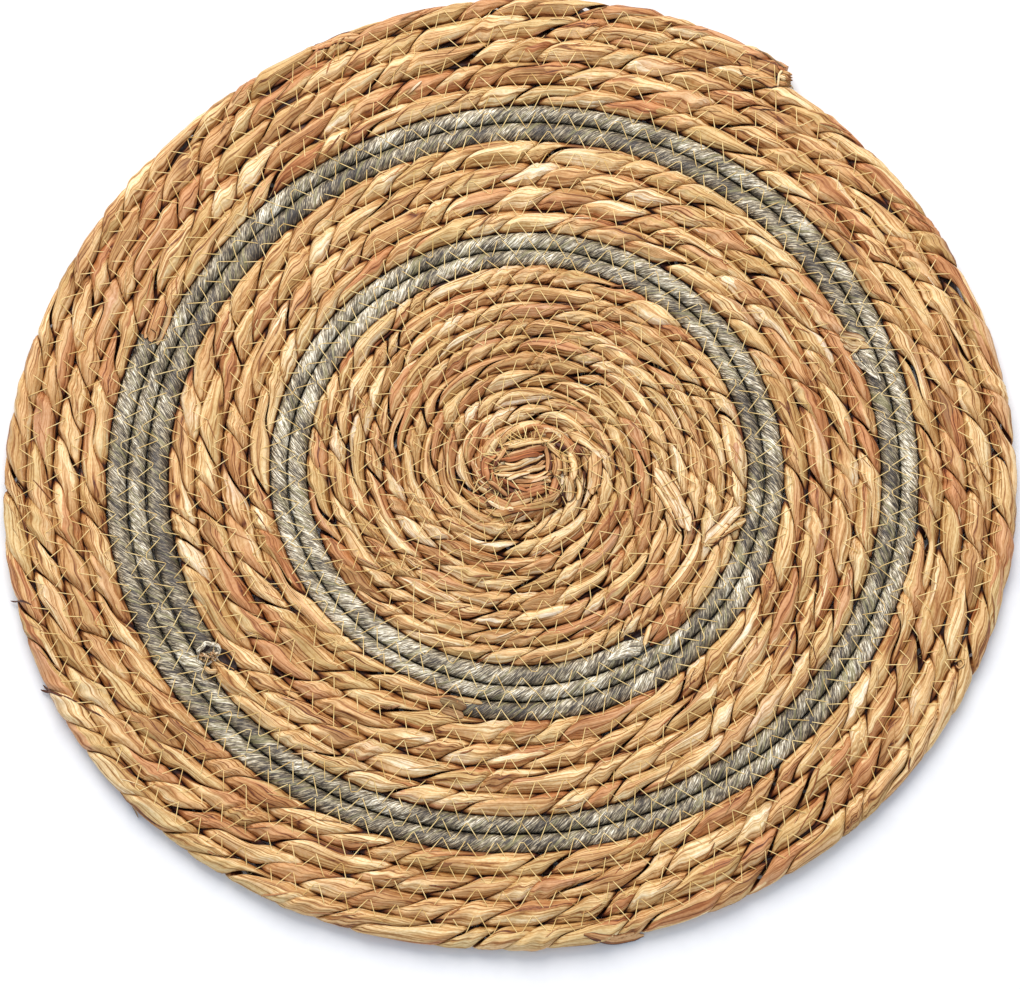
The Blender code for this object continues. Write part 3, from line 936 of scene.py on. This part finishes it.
# Torn leaf right of the middle and at the joints, the flake on the grey band, the dark threads and
# ragged bits at the mat's edge, dark strips painted as the shade in gaps at two joints and on the rim's
# outer flank, and last the rim rope's blunt first end, which laps over the grey cord.
TORN_ENDS = (
    Strip(((72.6, -36.8), (79.5, -31.0), (88.2, -26.2)), 2.3, 0.1, -1.0, (0.0, 0.7), raised=0.4),
    Strip(((73.2, -35.4), (78.6, -28.0), (83.4, -17.6)), 1.5, 0.05, -1.0, (0.0, 0.6), raised=0.3),
    Strip(((73.0, -36.0), (79.2, -29.2), (86.4, -21.8)), 2.6, 0.3, -1.0, (0.0, 1.1), raised=0.6),
    Strip(((54.4, -6.4), (61.6, -18.4), (67.2, -31.0)), 3.3, 0.4, -1.0, (0.2, 0.5), raised=0.4),
    Strip(((53.6, -12.5), (59.0, -21.0), (64.0, -30.5)), 1.2, 0.1, 0.0, (0.3, 0.3), raised=0.2),
    Strip(((124.6, 48.2), (129.5, 47.6), (134.4, 45.8)), 1.6, 0.5, -1.0, (0.2, 0.3), 0.45, 0.1),
    Strip(((125.0, 45.8), (130.5, 44.9), (136.0, 43.0)), 1.9, 0.4, -1.0, (0.2, 0.3), 0.55),
    Strip(((126.2, 43.4), (129.6, 42.0), (132.2, 42.6)), 1.6, 0.45, -1.0, (0.2, 0.4), 0.5, 0.1),
    Strip(((-79.5, 165.2), (-71.0, 168.6), (-61.0, 170.6)), 2.6, 0.0, 0.0, (0.2, 0.0)),
    # Dark leaf bits off the mat's left edge; the third is a thin dark strip painted as the shade in the seam
    # between two lumps.
    Strip(((-164.5, -97.4), (-168.5, -95.0), (-173.6, -92.8)), 0.5, -0.9, 0.0, (0.2, 0.8), shaded=0.8),
    Strip(((-165.5, -97.0), (-170.0, -93.8), (-172.8, -91.0)), 0.4, -0.8, 0.0, (0.2, 0.6), shaded=0.8),
    Strip(((-165.5, -96.4), (-157.0, -100.4), (-148.5, -105.2)), 0.35, -0.8, 0.0, shaded=0.8),
    Strip(((-177.6, -62.3), (-182.2, -60.2), (-186.6, -58.7)), 0.35, -0.9, -1.0, (0.2, 0.5), shaded=0.7),
    Strip(((-137.9, -136.4), (-136.5, -138.4), (-135.4, -140.8)), 0.3, -0.6, -1.0, dull=0.7, shaded=0.5),
    Strip(((28.0, -184.0), (38.0, -185.0), (50.0, -182.5)), 1.3, 0.3, 0.0, (0.2, 0.0)),
    Strip(((165.2, -80.2), (167.4, -79.6), (168.2, -81.6), (166.6, -83.0), (165.6, -81.6)), 0.5, -0.1, 0.0,
          (0.8, 0.8)),
    Strip(((-42.0, 145.2), (-39.0, 148.0), (-36.2, 150.6)), 0.6, 1.0, 0.0, (0.4, 0.4)),
    Strip(((-25.2, -97.0), (-20.0, -98.0), (-15.5, -99.8)), 1.9, -0.05, 0.0, (0.0, 0.1), 0.9),
    Strip(((-24.8, -100.0), (-20.5, -101.2), (-16.6, -103.0)), 2.0, 0.0, 0.3, (0.0, 0.1), 0.65),
    Strip(((-19.4, -96.0), (-14.5, -96.6), (-9.6, -97.8)), 1.2, -0.1, -1.0, (0.0, 0.0), 0.6),
    # Dark strips painted as the shade in the gaps at joint 3 and at joint 1.
    Strip(((-107.8, -78.2), (-104.6, -81.8), (-101.4, -86.2)), 2.1, -0.9, shaded=0.9, raised=0.2),
    Strip(((42.6, -72.4), (46.8, -70.8), (50.6, -68.8)), 1.1, -0.9, shaded=0.9, raised=0.3),
    # A thin dark strip painted as the shade on the rim's outer flank.
    Strip(((94.0, 166.2), (100.3, 162.9), (106.1, 157.3)), 0.6, -0.7, -1.0, dull=0.8, shaded=0.35),
    Strip(((87.0, 162.4), (95.0, 159.6), (103.6, 155.8)), 2.5, 0.05, -1.0, (0.0, 0.3), raised=0.4),
    Strip(((88.0, 157.6), (96.0, 154.4), (103.4, 150.8)), 2.9, 0.0, -1.0, (0.0, 0.3), raised=0.5),
    Strip(((52.6, -66.5), (51.4, -70.5), (50.2, -75.0)), 1.1, 0.15, -1.0, (0.0, 0.4), raised=0.3),
    Strip(((-135.6, 57.5), (-137.8, 50.5), (-139.8, 43.9)), 1.7, 0.0, 0.55, (0.0, 0.3), raised=0.1),
    Strip(((-130.6, 56.5), (-132.9, 49.5), (-135.5, 42.2)), 1.7, 0.1, 0.3, (0.0, 0.3), raised=0.1),
    Strip(((-133.4, 59.0), (-135.3, 51.0), (-137.7, 42.6)), 2.6, 0.1, 0.4, (0.0, 0.4), raised=0.3),
    Strip(((-138.8, 45.6), (-138.0, 43.4), (-135.8, 43.6), (-135.6, 46.0), (-137.8, 47.0)), 0.4, 0.1, 0.2,
          (0.5, 0.5), raised=0.6),
)
LOOSE_LEAF_SEED = 7
FIRST_SHREDDED_TURN = 2.5
chance = random.Random(LOOSE_LEAF_SEED)
centre_leaves = [
    *CENTRE_STRIPS,
    *(Strip(route, half_width, -0.9, shaded=0.78, raised=high) for route, half_width, high in CENTRE_HOLLOWS),
]


def loose_strip(turn, part_across, slant, reach, half_width, paler, russet, lifted, raised=0.0):
    """A slightly bowed strip that crosses a row at a slant, reach being half its length in mm."""
    radius = row_edge(turn) + part_across * (row_edge(turn + 1.0) - row_edge(turn))
    bow = chance.uniform(-0.5, 0.5)
    route = []
    for part, side in ((-1.0, 0.0), (0.0, bow), (1.0, 0.0)):
        ahead = part * reach * math.cos(slant) / (FULL_TURN * max(radius, LEAST_RADIUS))
        spot = place(turn + ahead, radius + part * reach * math.sin(slant) + side)
        route.append((spot.x / MM, spot.y / MM))
    return Strip(route, half_width, paler, russet, lifted, raised=raised)


def is_leaf_row(turn):
    """Whether the row at this turn is seagrass rope rather than grey cord."""
    return not (JOINT_1 < turn < JOINT_2 or JOINT_3 < turn < JOINT_4)


BUNDLE_STRIPS = 66
BUNDLE_TURNS = (1.25, 3.3)
BUNDLE_CROWDING = 0.75
# Wide dark strips low under the core, painted shade so that any hole through the bundle shows dark; their
# rows are given by y.
SHADE_UNDERLAY_ROWS = (-18.0, -12.0, -6.0, 0.0)
bundle = [
    Strip(((-9.0, y - 3.0), (6.0, y - 0.5), (21.0, y + 2.0)), 4.2, -0.9, shaded=0.78) for y in SHADE_UNDERLAY_ROWS
]
for k in range(BUNDLE_STRIPS):
    bundle.append(loose_strip(
        BUNDLE_TURNS[0] + (BUNDLE_TURNS[1] - BUNDLE_TURNS[0]) * (k / BUNDLE_STRIPS) ** BUNDLE_CROWDING,
        part_across=chance.uniform(0.3, 0.7),
        slant=math.radians(chance.gauss(25.0, 7.0)),
        reach=chance.uniform(5.0, 8.5),
        half_width=chance.uniform(1.3, 2.4),
        paler=chance.uniform(-0.25, 0.35),
        russet=chance.choice((-1.0, 0.0, 0.0, 0.5)),
        lifted=(-0.9, -0.9),
        raised=chance.uniform(0.0, 0.5),
    ))
CORE_STRIPS = 64
CORE_MIDDLE = Vector((6.5, -9.0))
CORE_REACH = Vector((15.0, 12.5))
CORE_STRAIGHT_PART = 9.0
CORE_CURL = 1.6
for k in range(CORE_STRIPS):
    around = chance.uniform(0.0, FULL_TURN)
    outwards = math.sqrt(chance.random())
    at = outwards * Vector((math.cos(around) * CORE_REACH.x, math.sin(around) * CORE_REACH.y))
    middle = CORE_MIDDLE + at
    if abs(middle.x - CORE_MIDDLE.x) < CORE_STRAIGHT_PART:
        heading = math.radians(chance.gauss(12.0, 20.0))
    else:
        heading = around + CORE_CURL
    half = Vector((math.cos(heading), math.sin(heading))) * chance.uniform(3.0, 5.5)
    bow = Vector((chance.uniform(-0.7, 0.7), chance.uniform(-0.7, 0.7)))
    bundle.append(Strip(
        (middle - half, middle + bow, middle + half),
        half_width=chance.uniform(0.8, 1.8),
        paler=chance.uniform(-0.25, 0.3),
        russet=chance.choice((-1.0, 0.0, 0.5, 0.9)),
        raised=chance.uniform(0.3, 2.2),
    ))
SHREDS = 420
shreds = []
while len(shreds) < SHREDS:
    turn = COIL_END * math.sqrt(chance.random())
    if is_leaf_row(turn) and turn > FIRST_SHREDDED_TURN:
        shreds.append(loose_strip(
            turn,
            part_across=chance.uniform(0.2, 0.8),
            slant=math.radians(chance.gauss(24.0, 9.0)),
            reach=chance.uniform(2.5, 7.0),
            half_width=chance.uniform(0.13, 0.38),
            paler=chance.uniform(-0.4, 0.35),
            russet=chance.choice((0.0, 0.0, 0.6)),
            lifted=(chance.choice((0.0, 0.0, 0.5)), chance.choice((0.0, 0.3))),
        ))
leaf_pieces = []
for name, strips, sides, thickness, stiffness in (
    ("leaf_bundle_under", bundle, 8, 1.1, 3),
    ("leaf_bundle_top", centre_leaves, 8, 0.5, 3),
    ("leaf_torn_ends", TORN_ENDS, 10, 0.3, 8),
    ("leaf_shreds", shreds, 5, 0.2, 2),
):
    piece = grown(strip_paths(name + "_paths", strips), laid_strip, name,
                  {**STRIP_LOOK, "Sides": sides, "Most thickness": thickness * MM, "Stiffness": stiffness})
    sewn_pieces.objects.link(piece)
    leaf_pieces.append(piece)
for piece in leaf_pieces:
    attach(piece, "root")


# The two open ends: the outer grey band starts cut open, its winding a collar around frayed leaf, and
# the rim rope's cut end shows a torn leaf edge around its brown fibres. Both insides are darkened by a
# dark disc, painted shade. Both are held by the sewing.
RING_POINTS = 14
OpenEnd = collections.namedtuple(
    "OpenEnd", "middle facing radius edge_thickness edge_paler fibres fibre_widths fibre_angles fibre_reach "
    "fibre_spread paler")
CUT_CORD = OpenEnd(Vector((-111.4, -79.6, 6.0)), Vector((0.40, -0.60, 0.70)), 4.1, 0.85, 0.4,
                   60, (0.25, 0.55), (-3.2, 0.6), 2.0, (0.5, 1.1), (0.1, 1.1))
CUT_ROPE = OpenEnd(Vector((103.8, 153.3, 4.7)), Vector((0.95, -0.22, 0.1)), 5.2, 0.45, 0.12,
                   110, (0.6, 1.1), (0.0, FULL_TURN), 4.3, (0.9, 1.05), (-0.75, 0.2))


def tube_tree():
    """Round tubes swept along free paths, each as thick as its path says."""
    add, given, result = new_tree("Free fibre", Int=("Sides",), Material=("Material",))
    half_width, along, shaded = (
        add("InputNamedAttribute", key) for key in ("half_width", "along", "shaded")
    )
    curve = add("MeshToCurve", given["Geometry"])
    swept, ring, held = sweep(add, curve, given["Sides"])
    here = add("InputPosition")
    from_axis = add("VectorMath SUBTRACT", here, held["axis"])
    thinned = add("VectorMath SCALE", from_axis, {"Scale": half_width})
    spot = add("VectorMath ADD", held["axis"], thinned)
    above_table = add("VectorMath MAXIMUM", spot, NO_LOWER_THAN_THE_TABLE)
    placed = add("SetPosition", swept, {"Position": above_table})
    wide = add("VectorMath SCALE", ring, {"Scale": half_width})
    surface = add("VectorMath ADD", wide, add("CombineXYZ", {"Z": along}))
    # The darkening each path is given, mostly painted shade, is stored as the valley value.
    return finished(add, placed, given, result, leaf=surface, winding=surface, valley=shaded)


def in_round(end, angle, radius, forwards):
    """A spot in mm in an open end's own round, at a radius, and so far forwards out of it."""
    facing = end.facing.normalized()
    across = facing.cross(Vector((0.0, 0.0, 1.0))).normalized()
    upwards = across.cross(facing)
    spot = end.middle + across * math.cos(angle) * radius + upwards * math.sin(angle) * radius
    return spot + facing * forwards


def edge_strip(end):
    """The open end's rim, an uneven ring that overlaps itself."""
    route = []
    for k in range(RING_POINTS):
        radius = end.radius + chance.uniform(-0.5, 0.5)
        route.append(in_round(end, FULL_TURN * k / RING_POINTS, radius, chance.uniform(-0.5, 0.5)))
    return Strip([*route, *route[:2]], end.edge_thickness, end.edge_paler, -1.0)


def inside_strips(end):
    """The open end's inside, darkened by a dark disc as painted shade, with fibres that stand a little out of
    it.
    """
    strips = [Strip((in_round(end, 0.0, 0.0, -2.0), in_round(end, 0.0, 0.0, -0.2)), end.radius - 0.5, -0.9,
                    shaded=0.9)]
    for k in range(end.fibres):
        angle = chance.uniform(*end.fibre_angles)
        reach = end.radius * math.sqrt(chance.uniform(0.02, 0.75))
        turned = angle + chance.uniform(-0.2, 0.2)
        route = [in_round(end, angle, reach, -0.8)]
        for least, most in ((0.0, 0.4), (0.5, 1.0)):
            spread = reach * chance.uniform(*end.fibre_spread)
            route.append(in_round(end, turned, spread, end.fibre_reach * chance.uniform(least, most)))
        strips.append(Strip(
            route,
            half_width=chance.uniform(*end.fibre_widths),
            paler=chance.uniform(*end.paler),
            russet=chance.choice((0.0, -1.0, 0.4)),
        ))
    return strips


free_fibre = tube_tree()
# Two leaves low in the gap beside the cut cord, darkened as painted shade, and a small curl of leaf over it.
HOLLOW_LEAVES = [
    Strip(((-101.0, -80.5, 3.2), (-104.5, -84.0, 3.4), (-109.0, -87.5, 3.8)), 1.3, -0.6, shaded=0.75),
    Strip(((-103.0, -79.0, 2.4), (-107.0, -83.0, 2.6), (-111.0, -88.5, 2.8)), 1.4, -0.7, shaded=0.85),
    Strip(((-107.6, -86.2, 6.2), (-110.6, -86.8, 7.2), (-112.4, -84.8, 6.8)), 1.0, 0.15, 0.3),
]
Splay = collections.namedtuple("Splay", "first last bulge point")
SPLAYS = (
    Splay((126.8, 41.4), (134.0, 39.8), (3.0, -4.6), (140.0, 29.5, 7.2)),
    Splay((49.6, -74.4), (48.4, -78.6), (-5.5, -1.0), (36.5, -81.0, 7.0)),
)
YARNS_IN_A_SPLAY = 9
SPLAY_HEIGHTS = (6.9, 7.6)
splayed = []
for splay in SPLAYS:
    for k in range(YARNS_IN_A_SPLAY):
        start = Vector(splay.first).lerp(Vector(splay.last), k / (YARNS_IN_A_SPLAY - 1.0))
        bow = Vector((chance.uniform(-0.8, 0.8), chance.uniform(-0.8, 0.8)))
        middle = start + Vector(splay.bulge) + bow
        splayed.append(Strip(
            ((*start, SPLAY_HEIGHTS[0]), (*middle, SPLAY_HEIGHTS[1]), splay.point),
            half_width=chance.uniform(0.4, 0.75),
            paler=chance.uniform(0.1, 0.7),
        ))
for name, strips, material, slot in (
    ("cut_cord_collar", [edge_strip(CUT_CORD)], yarn_finish, "grey_cord"),
    ("splayed_cord_yarns", splayed, yarn_finish, "grey_cord"),
    ("cut_cord_core", inside_strips(CUT_CORD) + HOLLOW_LEAVES, leaf_finish, "seagrass"),
    ("cut_rope_end", [edge_strip(CUT_ROPE), *inside_strips(CUT_ROPE)], leaf_finish, "seagrass"),
):
    piece = grown(strip_paths(name + "_paths", strips), free_fibre, name, {"Sides": 8, "Material": material})
    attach(piece, "root")
    leaf_pieces.append(piece)


# The sewing: golden polyester thread in a machine zigzag over every row edge, on both faces.
# Each pair of needle holes is joined by a slanting stitch, pulled taut over the valley of two rows.
HOLES_IN_A_STITCH = 4.0
CUTS_BETWEEN_HOLES = 2
HIDDEN_BAR_DEPTHS = -5.0
FIRST_SEWN_TURN = COIL_START + 2.1


def edge_path(name, first, last):
    """The coil's row edge from one turn to another, with its way outwards."""
    turns = [first]
    while turns[-1] < last:
        turns.append(turns[-1] + STEP / (FULL_TURN * max(row_edge(turns[-1]), LEAST_RADIUS)))
    spots = [place(turn, row_edge(turn)) for turn in turns]
    return path_object(name, [spots], {"outwards": ways_out(spots)})


def stitch_tree():
    """A zigzag on a path, each needle hole found on the rope's surface, the thread taut between."""
    add, given, result = new_tree("Zigzag stitch", Int=("Sides", "Seed"), Float=(
        "Stitch length", "Stitch width", "First leg", "Short bar", "Second leg", "Bars shown",
        "Hole scatter", "Hole depth", "Thread radius", "Face",
    ), Collection=("Pieces below",), Material=("Material",))
    outwards = add("InputNamedAttribute", "outwards", data_type="FLOAT_VECTOR")
    ways = add("InputTangent")
    curve = add("MeshToCurve", given["Geometry"])
    quarter = add("Math DIVIDE", given["Stitch length"], HOLES_IN_A_STITCH)
    holes = add("ResampleCurve", curve, {"Length": quarter}, mode="LENGTH")
    number = add("InputIndex")
    quarter_number = add("Math MODULO", number, HOLES_IN_A_STITCH)
    from_middle = add("Math SUBTRACT", quarter_number, 1.5)
    how_far = add("Math ABSOLUTE", from_middle)
    is_outer = add("Math GREATER_THAN", how_far, 1.0)
    side = add("Math MULTIPLY_ADD", is_outer, 2.0, -1.0)
    half_width = add("Math MULTIPLY", given["Stitch width"], 0.5)
    sideways = add("Math MULTIPLY", side, half_width)
    even_run = add("Math MULTIPLY", quarter_number, quarter)
    onwards = add("Math SUBTRACT", 0.0, even_run)
    for hole, part in enumerate(("First leg", "Short bar", "Second leg")):
        is_past = add("Math GREATER_THAN", quarter_number, hole + 0.5)
        onwards = add("Math MULTIPLY_ADD", is_past, given[part], onwards)
    side_move = add("VectorMath SCALE", outwards, {"Scale": sideways})
    on_move = add("VectorMath SCALE", ways, {"Scale": onwards})
    scatter = add("RandomValue", (-1.0, -1.0, 0.0), (1.0, 1.0, 0.0), {"Seed": given["Seed"]},
                  data_type="FLOAT_VECTOR")
    scattered = add("VectorMath SCALE", scatter, {"Scale": given["Hole scatter"]})
    moved = add("VectorMath ADD", side_move, on_move)
    moved_all = add("VectorMath ADD", moved, scattered)
    with_side = add("StoreNamedAttribute", holes, {"Name": "side", "Value": side})
    zigzag = add("SetPosition", with_side, {"Offset": moved_all})

    plan, height = surface_met(add, given)
    hole_height = add("Math SUBTRACT", height, given["Hole depth"])
    hole_z = add("Math MULTIPLY", hole_height, given["Face"])
    at_hole = add("VectorMath ADD", plan, add("CombineXYZ", {"Z": hole_z}))
    sunk = add("SetPosition", zigzag, {"Position": at_hole})

    divided = add("SubdivideCurve", sunk, {"Cuts": CUTS_BETWEEN_HOLES})
    part_number = add("Math MODULO", number, CUTS_BETWEEN_HOLES + 1.0)
    is_between = add("Math GREATER_THAN", part_number, 0.5)
    side_now = add("InputNamedAttribute", "side")
    side_size = add("Math ABSOLUTE", side_now)
    is_leg = add("Math LESS_THAN", side_size, 0.9)
    now = add("SeparateXYZ", add("InputPosition"))
    now_height = add("Math MULTIPLY", now.outputs["Z"], given["Face"])
    over = add("Math ADD", height, given["Thread radius"])
    taut = add("Math MAXIMUM", now_height, over)
    segment = add("Math DIVIDE", number, CUTS_BETWEEN_HOLES + 1.0)
    segment_number = add("Math FLOOR", segment)
    bar_chance = add("RandomValue", {"ID": segment_number, "Seed": given["Seed"]})
    is_hidden = add("Math GREATER_THAN", bar_chance.outputs[1], given["Bars shown"])
    drop = add("Math MULTIPLY", given["Hole depth"], HIDDEN_BAR_DEPTHS)
    bar = add("Math MULTIPLY_ADD", is_hidden, drop, height)
    between = add("Mix", is_leg, {2: bar, 3: taut})
    thread_height = add("Mix", is_between, {2: now_height, 3: between})
    thread_z = add("Math MULTIPLY", thread_height, given["Face"])
    off_table = add("Math MAXIMUM", thread_z, given["Thread radius"])
    thread_spot = add("VectorMath ADD", plan, add("CombineXYZ", {"Z": off_table}))
    laid = add("SetPosition", divided, {"Position": thread_spot})
    circle = add("CurvePrimitiveCircle", {"Resolution": given["Sides"], "Radius": given["Thread radius"]})
    swept = add("CurveToMesh", laid, {"Profile Curve": circle, "Fill Caps": True})
    return finished(add, swept, given, result)


def sewing_thread():
    """Spun polyester sewing thread: pale gold with a slight sheen. Its two plies are too fine to show."""
    material, add, shader = finish_of("golden_polyester_thread")
    noise = add("TexNoise", add("TexCoord").outputs["Object"], {"Scale": 140.0, "Detail": 2.0})
    tint = add("ValToRGB", noise, stops=((0.3, "#C9A050"), (0.7, "#EED492")))
    wire(shader, {"Base Color": tint, "Roughness": 0.45, "Sheen Weight": 0.2})
    return material


zigzag_stitch = stitch_tree()
thread_finish = sewing_thread()
STITCH_LOOK = {
    "Stitch length": 10.1 * MM,
    "Stitch width": 6.5 * MM,
    "First leg": 4.4 * MM,
    "Short bar": 0.8 * MM,
    "Second leg": 3.1 * MM,
    "Bars shown": 0.4,
    "Hole scatter": 0.65 * MM,
    "Hole depth": 0.12 * MM,
    "Thread radius": 0.34 * MM / 2.0,
    "Pieces below": sewn_pieces,
    "Material": thread_finish,
}
CENTRE_LOOK = {
    **STITCH_LOOK,
    "Stitch length": 7.6 * MM,
    "Stitch width": 8.0 * MM,
    "First leg": 2.6 * MM,
    "Short bar": 0.7 * MM,
    "Second leg": 2.2 * MM,
    "Hole scatter": 2.4 * MM,
}
for face_name, face, sides in (("top", 1.0, 5), ("underside", -1.0, 4)):
    passes = (
        ("sewing_thread_" + face_name, FIRST_SEWN_TURN, COIL_END, 5, STITCH_LOOK),
        ("centre_thread_1_" + face_name, FIRST_SEWN_TURN, 3.4, 21, CENTRE_LOOK),
        ("centre_thread_2_" + face_name, FIRST_SEWN_TURN + 0.3, 3.0, 34, CENTRE_LOOK),
    )
    for name, first, last, seed, look in passes:
        thread = grown(edge_path(name + "_path", first, last), zigzag_stitch, name,
                       {**look, "Sides": sides, "Face": face, "Seed": seed})
        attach(thread, "root")
for piece in list(sewn_pieces.objects):
    sewn_pieces.objects.unlink(piece)
bpy.data.collections.remove(sewn_pieces)
